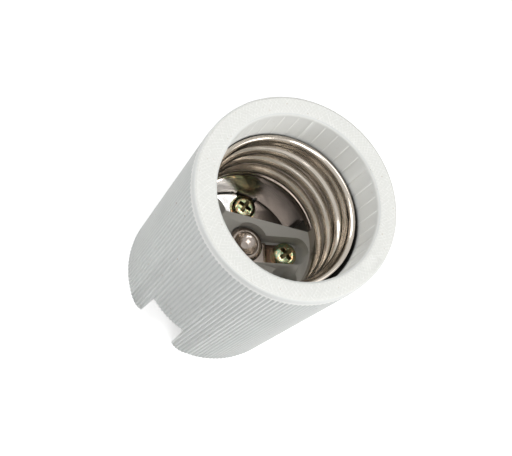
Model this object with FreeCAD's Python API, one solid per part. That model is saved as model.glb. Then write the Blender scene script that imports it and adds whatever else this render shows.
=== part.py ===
import FreeCAD, Part
import math
import os

from FreeCAD import Vector

# E40 (Goliath) lamp holder: a ribbed porcelain body with a rolled screw shell for the lamp cap, a sprung
# centre contact, and two wire terminals in an open chamber at the back.
#
# Millimetres. The origin is the centre of the back end face and +Z runs out of the mouth. The two wire
# notches face -X and +X, and the two fixing holes lie on the Y axis. Angles are in degrees about +Z, from +X.

# ---- Porcelain body, outside ----
body_length = 70.0
back_radius = 25.0            # over the rib crests at the back end
mouth_radius = 26.0           # over the rib crests next to the collar
rib_count = 144
rib_depth = 0.25              # next to the collar
collar_radius = 25.85         # smooth band between the ribs and the mouth face
collar_height = 2.6
collar_edge_radius = 0.7
rounding_steps = 3            # slopes that make up a rounded edge

# ---- Porcelain body, mouth and floor ----
bore_gap = 0.7                # round the shell's widest turn
lip_radius = 1.0              # rounding of the mouth's inner edge
platform_height = 34.5
pocket_floor = 3.2            # porcelain between the pocket and the wire chamber
pocket_side = 6.9             # flat side of the platform, from the axis
pocket_angle = 36.0           # direction that the flat side faces
slot_drop = 5.5               # contact slot floor below the platform
slot_width = 7.6
slot_end_gap = 1.15           # slot's round end, inside the shell's foot
slot_angle = -43.5
slot_offset = -1.9            # slot centreline, to the left of a ray at slot_angle
contact_well_gap = 0.4        # round the button
contact_well_drop = 1.7       # well floor below the slot floor

# ---- Fixing holes ----
fixing_spacing = 27.8
fixing_hole_radius = 2.2
fixing_head_radius = 3.7      # wells that take the heads of the fixing screws
fixing_seat_rise = 0.4        # seats of the screw heads above the pocket floor
fixing_boss_radius = 7.3      # boss round the hole that opens in the pocket
fixing_boss_height = 2.8
pillar_radius = 4.2
pillar_web = 5.0

# ---- Wire chamber ----
chamber_depth = 18.0
chamber_radius = 20.5
notch_width = 12.4
notch_drop = 0.6              # notch head below the chamber's ceiling
notch_top_radius = 1.2
notch_foot_radius = 4.5

# ---- Screw shell ----
thread_pitch = 6.35
thread_root_radius = 19.75    # inside the sheet, at the widest
thread_depth = 1.65
thread_crest_height = 50.8    # height of one crest on the +X side
shell_sheet = 0.35
shell_drop = 11.1             # rim below the mouth face
shell_rim_height = 1.0
shell_plain_step = 0.2        # plain part below the thread, outside its crests
shell_plain_height = 1.8
run_in = 3.2                  # length over which the thread starts below the rim
run_out = 3.0                 # length over which it ends above the plain part
shell_shift = 0.4             # the shell sits off the axis by the slack of its fixing
shell_shift_angle = 112.0
facets_around = 48
levels_per_turn = 6

# ---- Shell leg, tab and clamp plate ----
leg_start = -22.5
leg_end = 90.0
leg_gap = 0.8                 # leg's lower edge above the pocket floor
tab_width = 6.4
tab_reach = 7.6               # from the leg to the tab's end
tab_relief = 1.0
tab_hole_radius = 2.4
plate_thickness = 0.9
plate_edge_gap = 0.5          # from the leg
plate_gap = 0.3               # from the platform's flat side
plate_start = -16.0           # direction of the plate's straight end
boss_gap = 0.4

# ---- Screws that hold the shell and the contact ----
shell_screw_angle = 34.7
shell_screw_inset = 4.43      # from the leg
contact_screw_inset = 3.3     # from the strip's end
screw_radius = 1.75
screw_head_radius = 3.4
screw_head_height = 2.3
screw_hole_gap = 0.25
screw_projection = 0.8        # thread beyond the nut
head_washer_radius = 3.8
head_washer_thickness = 0.4
nut_flats = 6.0
nut_height = 2.6
lock_washer_radius = 3.0
lock_washer_thickness = 0.8
lock_washer_split = 0.7
thread_gap = 0.05             # a screw in its own thread

# ---- Centre contact ----
strip_thickness = 0.5
strip_side_gap = 0.9          # from each side of the slot
strip_bend_radius = 0.5       # inside the bend
strip_step = 5.9              # from the axis to the upright part
strip_end_gap = 2.15          # from the slot's end
arm_height = 1.9              # upper side of the arm above the slot floor
arm_eye_inset = 0.8           # from the button's edge
button_radius = 4.9
button_height = 1.6
button_edge_radius = 0.8
dimple_radius = 3.3
dimple_depth = 1.0
rivet_radius = 1.2
rivet_head_radius = 2.0
rivet_head_height = 0.6

# ---- Wire terminals ----
terminal_thickness = 1.6
terminal_half_width = 3.4
terminal_eye_radius = 4.0
terminal_seat_depth = 0.6     # recess in the chamber's ceiling that stops the terminal turning
terminal_seat_gap = 0.3
shell_wire_inset = 6.0        # from the chamber's wall
shell_wire_y = -1.5
contact_wire_inset = 11.0
contact_wire_y = 1.5
wire_screw_radius = 2.0
wire_screw_head_radius = 4.0
wire_screw_head_height = 2.6
wire_screw_engagement = 3.0   # shank above the terminal's lower side
clamp_side = 7.6
clamp_thickness = 1.0
clamp_corner = 0.8
clamp_hole_gap = 0.2
relief_gap = 0.3              # round and beyond the wire screws' ends, in the porcelain

# ---- Screw heads ----
head_shoulder_share = 0.4     # of the head's height
head_slope_share = 0.88       # of the head's radius
head_slope_height_share = 0.8
head_crown_share = 0.6
recess_width_share = 0.26     # of the head's radius
recess_reach_share = 0.55
recess_depth_share = 0.55     # of the head's height

# ---- Sizes and levels that follow ----
origin = Vector(0, 0, 0)
up = Vector(0, 0, 1)
overrun = 1.0                 # how far a cutting solid passes the face that it opens
thread_crest_radius = thread_root_radius - thread_depth
shell_plain_radius = thread_crest_radius + shell_plain_step
bore_radius = thread_root_radius + shell_sheet + bore_gap
plate_radius = shell_plain_radius - plate_edge_gap
slot_reach = shell_plain_radius - slot_end_gap
strip_width = slot_width - 2 * strip_side_gap
strip_end = slot_reach - strip_end_gap
contact_well_radius = button_radius + contact_well_gap
platform_z = platform_height
pocket_z = chamber_depth + pocket_floor
slot_z = platform_z - slot_drop
shell_top = body_length - shell_drop
fixing_seat_z = pocket_z + fixing_seat_rise
plate_z = pocket_z + shell_sheet
washer_z = plate_z + plate_thickness
arm_top_z = slot_z + arm_height
terminal_top_z = chamber_depth + terminal_seat_depth
terminal_z = terminal_top_z - terminal_thickness
lock_washer_z = terminal_z - lock_washer_thickness
nut_z = lock_washer_z - nut_height
screw_end_z = nut_z - screw_projection
clamp_z = terminal_z - clamp_thickness


def at(radius, angle, z=0.0):
    """Point at a radius and direction about the axis."""
    return Vector(radius * math.cos(math.radians(angle)), radius * math.sin(math.radians(angle)), z)


def along_slot(reach, offset, z=0.0):
    """Point in the slot's own directions: along it, and to its left."""
    return at(reach, slot_angle, z) + at(offset, slot_angle + 90.0)


def cylinder(radius, low, high, centre=origin):
    """Upright cylinder between two heights."""
    return Part.makeCylinder(radius, high - low, Vector(centre.x, centre.y, low))


def ring(outer, inner, low, high, centre=origin):
    """Flat washer or tube between two heights."""
    return cylinder(outer, low, high, centre).cut(cylinder(inner, low - overrun, high + overrun, centre))


def plate_between(first, second, radius, low, high):
    """Straight bar with round ends about two points."""
    run = second - first
    side = Vector(-run.y, run.x, 0).normalize() * radius
    corners = [first + side, second + side, second - side, first - side, first + side]
    outline = Part.makePolygon([Vector(p.x, p.y, low) for p in corners])
    bar = Part.Face(outline).extrude(up * (high - low))
    return bar.fuse([cylinder(radius, low, high, first), cylinder(radius, low, high, second)]).removeSplitter()


def segment(radius, side, angle, low, high):
    """Slice of a round disc beyond a flat side that lies off the axis."""
    block = Part.makeBox(2 * radius, 4 * radius, high - low, Vector(side, -2 * radius, low))
    block.rotate(origin, up, angle)
    return cylinder(radius, low, high).common(block)


def revolved(points):
    """Solid of revolution from the corners of a half profile in the XZ plane."""
    return Part.Face(Part.makePolygon(points + points[:1])).revolve(origin, up, 360)


def rounding(x, z, radius, start):
    """Corners of a quarter round about a centre in the XZ plane, from a start direction on."""
    turns = [math.radians(start + 90.0 * k / rounding_steps) for k in range(rounding_steps + 1)]
    return [Vector(x + radius * math.cos(turn), 0, z + radius * math.sin(turn)) for turn in turns]


def arc(start, middle, end):
    """Circular edge through three points."""
    return Part.Arc(start, middle, end).toShape()


shell_screw_at = at(shell_plain_radius - shell_screw_inset, shell_screw_angle)
contact_screw_at = along_slot(strip_end - contact_screw_inset, slot_offset)
shell_wire_at = Vector(chamber_radius - shell_wire_inset, shell_wire_y, 0)
contact_wire_at = Vector(contact_wire_inset - chamber_radius, contact_wire_y, 0)
fixing_near = Vector(0, -fixing_spacing / 2, 0)
fixing_far = Vector(0, fixing_spacing / 2, 0)


# ---------------------------------------------------------------- porcelain body

def rib_outline(crest_radius, z):
    """Closed line of crests and grooves, in proportion to the radius, so that each rib has flat sides."""
    step = 180.0 / rib_count
    depth = rib_depth * crest_radius / mouth_radius
    points = [at(crest_radius - depth * (k % 2), k * step, z) for k in range(2 * rib_count)]
    return Part.makePolygon(points + points[:1])


def body_outside():
    """Tapered ribbed barrel with a smooth collar at the mouth."""
    ribs_end = body_length - collar_height
    barrel = Part.makeLoft([rib_outline(back_radius, 0), rib_outline(mouth_radius, ribs_end)], True, True)
    foot_z = ribs_end - overrun
    edge = rounding(collar_radius - collar_edge_radius, body_length - collar_edge_radius, collar_edge_radius, 0)
    collar = revolved([Vector(0, 0, foot_z), Vector(collar_radius, 0, foot_z)] + edge + [Vector(0, 0, body_length)])
    return barrel.fuse(collar)


def mouth_space():
    """Round recess from the mouth to the platform, with a rounded lip."""
    lip = rounding(bore_radius + lip_radius, body_length - lip_radius, lip_radius, 90)
    rim_z = body_length + overrun
    wall = [Vector(bore_radius, 0, platform_z), Vector(0, 0, platform_z)]
    return revolved(lip + wall + [Vector(0, 0, rim_z), Vector(bore_radius + lip_radius, 0, rim_z)])


def pocket_space():
    """Deep pocket beside the platform's flat side, less the boss round the far fixing hole."""
    pocket = segment(bore_radius, pocket_side, pocket_angle, pocket_z, platform_z + overrun)
    boss_top = pocket_z + fixing_boss_height
    boss = cylinder(fixing_boss_radius, pocket_z - overrun, boss_top, fixing_far)
    return pocket.cut(boss.common(cylinder(plate_radius, pocket_z - overrun, boss_top)))


def slot_space():
    """Slot for the contact strip, with a round well under the button."""
    top = platform_z + overrun
    start = along_slot(0, slot_offset)
    end = along_slot(slot_reach - slot_width / 2, slot_offset)
    slot = plate_between(start, end, slot_width / 2, slot_z, top)
    return slot.fuse(cylinder(contact_well_radius, slot_z - contact_well_drop, top))


def fixing_space(centre):
    """Through hole for a fixing screw, with a well for its head."""
    hole = cylinder(fixing_hole_radius, -overrun, fixing_seat_z + overrun, centre)
    return hole.fuse(cylinder(fixing_head_radius, fixing_seat_z, platform_z + overrun, centre))


def pillar(centre):
    """Post round a fixing hole, joined to the skirt by a web."""
    post = cylinder(pillar_radius, -overrun, chamber_depth + overrun, centre)
    outward = math.copysign(chamber_radius, centre.y)
    low = min(centre.y, outward)
    web = Part.makeBox(pillar_web, abs(outward - centre.y), chamber_depth + 2 * overrun,
                       Vector(-pillar_web / 2, low, -overrun))
    return post.fuse(web)


def chamber_space():
    """Open wire chamber at the back, less the two pillars."""
    chamber = cylinder(chamber_radius, -overrun, chamber_depth)
    return chamber.cut([pillar(fixing_near), pillar(fixing_far)])


def notch_space(direction):
    """Wire notch in the skirt: a square head with eased corners and a flared foot."""
    half = notch_width / 2
    head = chamber_depth - notch_drop
    foot = half + notch_foot_radius
    lean = math.sqrt(0.5)
    x = direction * (chamber_radius - 2 * overrun)

    def point(y, z):
        return Vector(x, y, z)

    edges = Part.makePolygon([point(foot, 0), point(foot, -overrun), point(-foot, -overrun), point(-foot, 0)]).Edges
    for side in (-1, 1):
        bend_y = side * (foot - lean * notch_foot_radius)
        bend_z = notch_foot_radius * (1 - lean)
        edges.append(arc(point(side * foot, 0), point(bend_y, bend_z), point(side * half, notch_foot_radius)))
        shoulder = head - notch_top_radius
        edges.append(Part.makeLine(point(side * half, notch_foot_radius), point(side * half, shoulder)))
        head_y = side * (half - notch_top_radius * (1 - lean))
        head_z = shoulder + lean * notch_top_radius
        head_end = point(side * (half - notch_top_radius), head)
        edges.append(arc(point(side * half, shoulder), point(head_y, head_z), head_end))
    top = half - notch_top_radius
    edges.append(Part.makeLine(point(-top, head), point(top, head)))
    outline = Part.Wire(Part.sortEdges(edges)[0])
    reach = mouth_radius - chamber_radius + 4 * overrun
    return Part.Face(outline).extrude(Vector(direction * reach, 0, 0))


def terminal_outline(screw_at, wire_at, margin, low, high):
    """Bar with a wide round eye at the wire end, grown by a margin."""
    bar = plate_between(screw_at, wire_at, terminal_half_width + margin, low, high)
    return bar.fuse(cylinder(terminal_eye_radius + margin, low, high, wire_at)).removeSplitter()


def terminal_space(screw_at, wire_at):
    """Seat of a terminal in the chamber's ceiling, with room for the wire screw's end."""
    low = chamber_depth - overrun
    seat = terminal_outline(screw_at, wire_at, terminal_seat_gap, low, terminal_top_z)
    relief_top = terminal_z + wire_screw_engagement + relief_gap
    return seat.fuse(cylinder(wire_screw_radius + relief_gap, low, relief_top, wire_at))


def porcelain_body():
    hole = screw_radius + screw_hole_gap
    spaces = [mouth_space(), pocket_space(), slot_space(), chamber_space()]
    spaces += [notch_space(-1), notch_space(1), fixing_space(fixing_near), fixing_space(fixing_far)]
    spaces += [terminal_space(shell_screw_at, shell_wire_at), terminal_space(contact_screw_at, contact_wire_at)]
    spaces += [cylinder(hole, 0, platform_z, centre) for centre in (shell_screw_at, contact_screw_at)]
    return body_outside().cut(spaces)


# ---------------------------------------------------------------- screw shell

def ease(value, start, end):
    """Smooth change from 0 at start to 1 at end."""
    share = min(1.0, max(0.0, (value - start) / (end - start)))
    return share * share * (3 - 2 * share)


def shell_radius(angle, z):
    """Inside radius of the rolled sheet: a right-hand rounded thread between a plain rim and a plain foot."""
    wave = math.cos(2 * math.pi * (z - thread_crest_height) / thread_pitch - math.radians(angle))
    swing = (thread_root_radius - thread_crest_radius) / 2
    rim_start = shell_top - shell_rim_height
    foot_end = platform_z + shell_plain_height
    depth = swing * (1 + wave) * ease(z, rim_start, rim_start - run_in)
    threaded = thread_root_radius - depth
    return shell_plain_radius + (threaded - shell_plain_radius) * ease(z, foot_end, foot_end + run_out)


def shell_levels():
    """Heights of the shell's section points, closest over the thread."""
    low = platform_z + shell_plain_height
    high = shell_top - shell_rim_height
    count = math.ceil((high - low) / thread_pitch * levels_per_turn)
    return [platform_z] + [low + (high - low) * k / count for k in range(count + 1)] + [shell_top]


def shell_section(angle):
    """Closed section of the sheet in the half plane at one angle."""
    levels = shell_levels()
    inside = [at(shell_radius(angle, z), angle, z) for z in levels]
    outside = [at(shell_radius(angle, z) + shell_sheet, angle, z) for z in reversed(levels)]
    return Part.makePolygon(inside + outside + inside[:1])


def leg_section(angle):
    """Section of the leg, the part of the shell's foot that goes on down into the pocket."""
    low = pocket_z + leg_gap
    outer = shell_plain_radius + shell_sheet
    corners = [(shell_plain_radius, low), (outer, low), (outer, platform_z), (shell_plain_radius, platform_z)]
    points = [at(radius, angle, z) for radius, z in corners]
    return Part.makePolygon(points + points[:1])


def shell_tab():
    """Tab bent inward from the leg's lower edge, under the clamp plate and the shell screw."""
    outer = shell_plain_radius + shell_sheet
    floor = Part.makeBox(tab_reach, tab_width, shell_sheet, Vector(outer - tab_reach, -tab_width / 2, pocket_z))
    rise = leg_gap + tab_relief + shell_sheet
    wall = Part.makeBox(shell_sheet, tab_width, rise, Vector(shell_plain_radius, -tab_width / 2, pocket_z))
    tab = floor.fuse(wall)
    tab.rotate(origin, up, shell_screw_angle)
    return tab


def tab_reliefs():
    """Slits in the leg on both sides of the tab."""
    slits = []
    for side in (-1, 1):
        middle = side * (tab_width + tab_relief) / 2
        corner = Vector(shell_plain_radius - overrun, middle - tab_relief / 2, pocket_z - overrun)
        slit = Part.makeBox(3 * overrun, tab_relief, leg_gap + tab_relief + overrun, corner)
        slit.rotate(origin, up, shell_screw_angle)
        slits.append(slit)
    return slits


def screw_shell():
    step = 360.0 / facets_around
    barrel = Part.makeLoft([shell_section(k * step) for k in range(facets_around)], True, True, True)
    leg_steps = round((leg_end - leg_start) / step)
    leg = Part.makeLoft([leg_section(leg_start + k * step) for k in range(leg_steps + 1)], True, True)
    leg = leg.cut(tab_reliefs()).fuse(shell_tab())
    leg = leg.cut(cylinder(tab_hole_radius, pocket_z - overrun, plate_z + overrun, shell_screw_at))
    shell = barrel.fuse(leg)
    shell.translate(at(shell_shift, shell_shift_angle))
    return shell


def shell_clamp_plate():
    blank = segment(plate_radius, pocket_side + plate_gap, pocket_angle, plate_z, washer_z)
    past_end = Part.makeBox(2 * plate_radius, 2 * plate_radius, plate_thickness + 2 * overrun,
                            Vector(0, -2 * plate_radius, plate_z - overrun))
    past_end.rotate(origin, up, plate_start)
    boss = cylinder(fixing_boss_radius + boss_gap, plate_z - overrun, washer_z + overrun, fixing_far)
    hole = cylinder(screw_radius + screw_hole_gap, plate_z - overrun, washer_z + overrun, shell_screw_at)
    return blank.cut([past_end, boss, hole])


# ---------------------------------------------------------------- screws, washers and nuts

def pan_head(radius, height):
    """Pan head on z = 0, with a sloped crown and a cross recess."""
    shoulder = Vector(radius, 0, height * head_shoulder_share)
    slope = Vector(radius * head_slope_share, 0, height * head_slope_height_share)
    crown = Vector(radius * head_crown_share, 0, height)
    head = revolved([origin, Vector(radius, 0, 0), shoulder, slope, crown, Vector(0, 0, height)])
    width = radius * recess_width_share
    reach = radius * recess_reach_share
    depth = height * recess_depth_share
    bar = Part.makeBox(2 * reach, width, depth + overrun, Vector(-reach, -width / 2, height - depth))
    cross_bar = bar.copy()
    cross_bar.rotate(origin, up, 90)
    return head.cut([bar, cross_bar])


def machine_screw(shank_radius, shank_length, head_radius, head_height):
    """Cross-recessed pan-head screw, seated on z = 0 with its shank below."""
    shank = cylinder(shank_radius, -shank_length, 0)
    tip = [e for e in shank.Edges if e.BoundBox.ZMax < -shank_length + 0.01]
    shank = shank.makeChamfer(shank_radius * 0.25, tip)
    return pan_head(head_radius, head_height).fuse(shank)


def holding_screw(centre, seat_z):
    """Long screw from the front, through the porcelain, to its nut in the chamber."""
    screw = machine_screw(screw_radius, seat_z - screw_end_z, screw_head_radius, screw_head_height)
    screw.translate(Vector(centre.x, centre.y, seat_z))
    return screw


def hexagon_nut(centre):
    """Hexagon nut with its corners turned off on both faces."""
    corner = nut_flats / math.sqrt(3)
    points = [at(corner, 60 * k) for k in range(7)]
    blank = Part.Face(Part.makePolygon(points)).extrude(up * nut_height)
    ease_height = (corner - nut_flats / 2) / math.sqrt(3)
    ends = [(0, 0), (nut_flats / 2, 0), (corner, ease_height)]
    half = [Vector(x, 0, z) for x, z in ends] + [Vector(x, 0, nut_height - z) for x, z in reversed(ends)]
    nut = blank.common(revolved(half)).cut(cylinder(screw_radius + thread_gap, -overrun, nut_height + overrun))
    nut.translate(Vector(centre.x, centre.y, nut_z))
    return nut


def lock_washer(centre):
    """Split spring washer between a terminal and its nut, pressed flat."""
    washer = ring(lock_washer_radius, screw_radius + screw_hole_gap / 2, 0, lock_washer_thickness)
    split = Part.makeBox(2 * lock_washer_radius, lock_washer_split, lock_washer_thickness + 2 * overrun,
                         Vector(0, -lock_washer_split / 2, -overrun))
    washer = washer.cut(split)
    washer.translate(Vector(centre.x, centre.y, lock_washer_z))
    return washer


def shell_screw_washer():
    inner = screw_radius + screw_hole_gap
    return ring(head_washer_radius, inner, washer_z, washer_z + head_washer_thickness, shell_screw_at)


# ---------------------------------------------------------------- centre contact

def strip_path():
    """Middle line of the bent strip, from over the well, down the step and along the slot floor."""
    half = strip_thickness / 2
    radius = strip_bend_radius + half
    lean = math.sqrt(0.5)
    high = arm_top_z - half
    low = slot_z + half
    x = strip_step + half
    lower = Vector(x + radius, 0, low + radius)
    upper = Vector(x - radius, 0, high - radius)
    return Part.Wire([
        Part.makeLine(Vector(0, 0, high), Vector(upper.x, 0, high)),
        arc(Vector(upper.x, 0, high), upper + Vector(lean, 0, lean) * radius, Vector(x, 0, upper.z)),
        Part.makeLine(Vector(x, 0, upper.z), Vector(x, 0, lower.z)),
        arc(Vector(x, 0, lower.z), lower - Vector(lean, 0, lean) * radius, Vector(lower.x, 0, low)),
        Part.makeLine(Vector(lower.x, 0, low), Vector(strip_end - strip_width / 2, 0, low)),
    ])


def contact_spring():
    """Bent strip that carries the button on its free arm; its foot is held by the contact screw."""
    half = strip_thickness / 2
    side = strip_width / 2
    high = arm_top_z - half
    corners = [(-side, -half), (side, -half), (side, half), (-side, half)]
    points = [Vector(0, y, high + z) for y, z in corners]
    strip = strip_path().makePipeShell([Part.makePolygon(points + points[:1])], True, False)
    foot_centre = Vector(strip_end - side, 0, 0)
    strip = strip.fuse(cylinder(side, slot_z, slot_z + strip_thickness, foot_centre))
    strip.translate(Vector(0, slot_offset, 0))
    eye_radius = button_radius - arm_eye_inset
    strip = strip.fuse(cylinder(eye_radius, arm_top_z - strip_thickness, arm_top_z)).removeSplitter()
    strip = strip.cut(cylinder(rivet_radius + thread_gap, arm_top_z - overrun, arm_top_z + overrun))
    strip.rotate(origin, up, slot_angle)
    foot_hole = cylinder(screw_radius + screw_hole_gap, slot_z - overrun, slot_z + overrun, contact_screw_at)
    return strip.cut(foot_hole)


def contact_button():
    """Turned button with a rounded edge and a conical dimple, riveted through the strip."""
    top = arm_top_z + button_height
    edge = rounding(button_radius - button_edge_radius, top - button_edge_radius, button_edge_radius, 0)
    rivet_z = arm_top_z - strip_thickness
    dimple = [Vector(dimple_radius, 0, top), Vector(0, 0, top - dimple_depth)]
    rivet = [
        Vector(0, 0, rivet_z - rivet_head_height),
        Vector(rivet_head_radius, 0, rivet_z - rivet_head_height),
        Vector(rivet_head_radius, 0, rivet_z),
        Vector(rivet_radius, 0, rivet_z),
        Vector(rivet_radius, 0, arm_top_z),
        Vector(button_radius, 0, arm_top_z),
    ]
    return revolved(edge + dimple + rivet)


# ---------------------------------------------------------------- wire terminals

def terminal(screw_at, wire_at):
    """Brass bar on the chamber's ceiling, with a plain hole and a tapped one."""
    bar = terminal_outline(screw_at, wire_at, 0, terminal_z, terminal_top_z)
    top = terminal_top_z + overrun
    plain = cylinder(screw_radius + screw_hole_gap, terminal_z - overrun, top, screw_at)
    tapped = cylinder(wire_screw_radius + thread_gap, terminal_z - overrun, top, wire_at)
    return bar.cut([plain, tapped])


def wire_screw(centre):
    """Short screw, head down, that presses the clamp against the terminal."""
    length = clamp_thickness + wire_screw_engagement
    screw = machine_screw(wire_screw_radius, length, wire_screw_head_radius, wire_screw_head_height)
    screw.rotate(origin, Vector(1, 0, 0), 180)
    screw.translate(Vector(centre.x, centre.y, clamp_z))
    return screw


def wire_clamp(screw_at, wire_at):
    """Square clamp washer with eased corners, in line with its terminal."""
    half = clamp_side / 2
    blank = Part.makeBox(clamp_side, clamp_side, clamp_thickness, Vector(-half, -half, clamp_z))
    corners = [e for e in blank.Edges if e.BoundBox.ZLength > clamp_thickness / 2]
    blank = blank.makeFillet(clamp_corner, corners)
    blank = blank.cut(cylinder(wire_screw_radius + clamp_hole_gap, clamp_z - overrun, terminal_z + overrun))
    run = wire_at - screw_at
    blank.rotate(origin, up, math.degrees(math.atan2(run.y, run.x)))
    blank.translate(wire_at)
    return blank


nodes = {
    "porcelain_body": porcelain_body(),
    "screw_shell": screw_shell(),
    "shell_clamp_plate": shell_clamp_plate(),
    "shell_screw": holding_screw(shell_screw_at, washer_z + head_washer_thickness),
    "shell_screw_washer": shell_screw_washer(),
    "contact_spring": contact_spring(),
    "contact_button": contact_button(),
    "contact_screw": holding_screw(contact_screw_at, slot_z + strip_thickness),
    "shell_terminal": terminal(shell_screw_at, shell_wire_at),
    "contact_terminal": terminal(contact_screw_at, contact_wire_at),
    "shell_lock_washer": lock_washer(shell_screw_at),
    "contact_lock_washer": lock_washer(contact_screw_at),
    "shell_nut": hexagon_nut(shell_screw_at),
    "contact_nut": hexagon_nut(contact_screw_at),
    "shell_wire_screw": wire_screw(shell_wire_at),
    "contact_wire_screw": wire_screw(contact_wire_at),
    "shell_wire_clamp": wire_clamp(shell_screw_at, shell_wire_at),
    "contact_wire_clamp": wire_clamp(contact_screw_at, contact_wire_at),
}

os.makedirs("parts", exist_ok=True)
for name, shape in nodes.items():
    solid = shape.Solids[0] if len(shape.Solids) == 1 else shape
    solid.exportStep(f"parts/{name}.step")
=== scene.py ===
import math

import bmesh
import bpy
from mathutils import Matrix, Vector


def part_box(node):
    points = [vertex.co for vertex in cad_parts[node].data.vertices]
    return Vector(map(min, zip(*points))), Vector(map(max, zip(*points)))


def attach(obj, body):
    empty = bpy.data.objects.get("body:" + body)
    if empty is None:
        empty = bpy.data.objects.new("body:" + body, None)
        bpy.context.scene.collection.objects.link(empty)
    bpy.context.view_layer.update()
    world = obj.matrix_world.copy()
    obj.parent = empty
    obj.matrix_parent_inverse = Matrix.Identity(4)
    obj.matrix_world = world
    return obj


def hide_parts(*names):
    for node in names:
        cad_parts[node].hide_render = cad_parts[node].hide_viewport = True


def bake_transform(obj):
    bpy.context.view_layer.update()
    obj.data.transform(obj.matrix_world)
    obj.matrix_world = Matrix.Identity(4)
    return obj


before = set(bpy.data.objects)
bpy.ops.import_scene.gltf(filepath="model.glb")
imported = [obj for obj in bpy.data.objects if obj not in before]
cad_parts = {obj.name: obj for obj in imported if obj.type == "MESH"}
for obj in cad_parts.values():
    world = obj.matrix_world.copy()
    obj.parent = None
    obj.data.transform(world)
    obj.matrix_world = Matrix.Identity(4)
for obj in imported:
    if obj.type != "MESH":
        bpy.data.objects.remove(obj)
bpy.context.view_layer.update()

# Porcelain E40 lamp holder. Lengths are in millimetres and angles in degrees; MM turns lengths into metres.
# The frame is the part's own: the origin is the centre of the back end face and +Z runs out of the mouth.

MM = 0.001
scene = bpy.context.scene


def node_box(node):
    """Lowest and highest corners of a CAD node, in millimetres."""
    low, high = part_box(node)
    return low / MM, high / MM


def node_middle(node):
    """Middle of a CAD node's box, in millimetres."""
    low, high = node_box(node)
    return (low + high) / 2


# ---------------------------------------------------------------- sizes

# Porcelain body
BODY_LENGTH = node_box("porcelain_body")[1].z
BACK_RADIUS = 25.0            # rib crests at the back end
MOUTH_RADIUS = node_box("porcelain_body")[1].x
COLLAR_RADIUS = 25.85
COLLAR_HEIGHT = 2.6
COLLAR_EDGE = 0.7             # rounding of the mouth face's outer edge
BORE_RADIUS = 20.8
RIBS = 144
RIB_DEPTH = 0.25
RIB_SEGMENTS = 8              # mesh columns in a rib
RIBS_END = BODY_LENGTH - COLLAR_HEIGHT
RIB_SLOPE = (MOUTH_RADIUS - BACK_RADIUS) / RIBS_END
SKIN_INSIDE = BACK_RADIUS - 2 * RIB_DEPTH     # everything beyond this radius belongs to the ribbed side
MOULD_LINES = 36
MOULD_TURN = 2.0              # direction of the first mould line
MOULD_LINE_END = BODY_LENGTH - 1.3
LINE_HALF_WIDTH = 0.12
LINE_RISE = 0.07
LIP_LOW = 61.0
LIP_LEAN = 0.7                # how far one side of the lip leans in: fired porcelain isn't quite round
LIP_SIDE = 137.0

# Screw shell
PITCH = 6.35
ROOT_RADIUS = 19.75
CREST_RADIUS = 18.1
CREST_HEIGHT = 50.8           # height of a thread crest in the direction of +X
SHEET = 0.35
SHELL_LOW, SHELL_HIGH = (corner.z for corner in node_box("screw_shell"))
PLATFORM_Z = 34.5
PLAIN_RADIUS = 18.3
PLAIN_HEIGHT = 1.8
RIM_HEIGHT = 1.0
RUN_IN = 3.2
RUN_OUT = 3.0
FLARE = 1.0                   # rounding of the shell's rim
RIM_REACH = 0.2               # how far the rim's edge stands outside the thread roots
NECK_LOW, NECK_HIGH = 3.6, 1.2                # below the rim, where the sheet draws in to the neck
SHELL_SHIFT = (0.4, 112.0)    # distance and direction of the shell from the body's axis
LEG_ANGLES = (-20.0, 92.0)
LEG_GAP = 0.8
LEG_FLARE = 0.35              # how far the leg's free edges lean outward
LEG_FLARE_WIDTH = 2.2
LEG_FLARE_HEIGHT = 5
TAB_WIDTH = 6.4
TAB_REACH = 7.6
TAB_RELIEF = 1.0
TAB_HOLE = 2.4
TAB_BEND = 0.7
SHELL_COLUMNS = 360
LEG_LEVELS = 14
BARREL_LEVELS = 80
RIM_LEVELS = 8

# Centre contact
SLOT_ANGLE = -43.5
SLOT_OFFSET = -1.9
SLOT_FLOOR = node_box("contact_spring")[0].z
ARM_TOP = node_box("contact_spring")[1].z
STRIP = 0.5
STRIP_WIDTH = 5.8
STRIP_STEP = 5.9              # from the axis to the bend
STRIP_END = 15.0
STRIP_BEND = 0.5
STRIP_COLUMNS = 10
ARM_LEVELS = 24
EYE_RADIUS = 4.1
EYE_BLEND = 1.5
BUTTON_TOP = node_box("contact_button")[1].z
BUTTON_RADIUS = node_box("contact_button")[1].x
BUTTON_EDGE = 1.35            # rounding of the button's rim
RIVET_LOW = node_box("contact_button")[0].z
RIVET_RADIUS = 2.0
RIVET_NECK = 1.2
RING_RADIUS = 3.4             # low ring round the button's dimple
DIMPLE_RADIUS = 3.05
RING_DEPTH = 0.4
DIMPLE_DEPTH = 2.2

# Screws
TOP_HEAD_HEIGHT, TOP_SHANK, TOP_PITCH = 2.3, 1.75, 0.6        # the two long screws, driven from the mouth
WIRE_HEAD_HEIGHT, WIRE_SHANK, WIRE_PITCH = 2.6, 2.0, 0.7      # the two terminal screws, driven from the back
HEAD_FLAT = 0.3               # radius of a head's flat top, as a share of its radius
HEAD_SIDE = 0.42              # height of a head's upright side, as a share of its height
HEAD_DOME = 0.5               # rise of its dome above that
DOME_POWER = 0.9              # how square the dome is
DOME_ROOT = 2.2               # the same for the height at a radius
screw_middle = node_middle("shell_screw")
SCREW_ANGLE = math.degrees(math.atan2(screw_middle.y, screw_middle.x))
SCREW_REACH = math.hypot(screw_middle.x, screw_middle.y)

BEND_STEPS = 7                # points in a rounding of 90 degrees, 15 degrees apart


def polar(radius, angle, z=0.0):
    """Point at a radius and direction about the axis."""
    return Vector((radius * math.cos(math.radians(angle)), radius * math.sin(math.radians(angle)), z))


def ease(value, start, end):
    """Smooth change from 0 at start to 1 at end."""
    share = min(1.0, max(0.0, (value - start) / (end - start)))
    return share * share * (3 - 2 * share)


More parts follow.
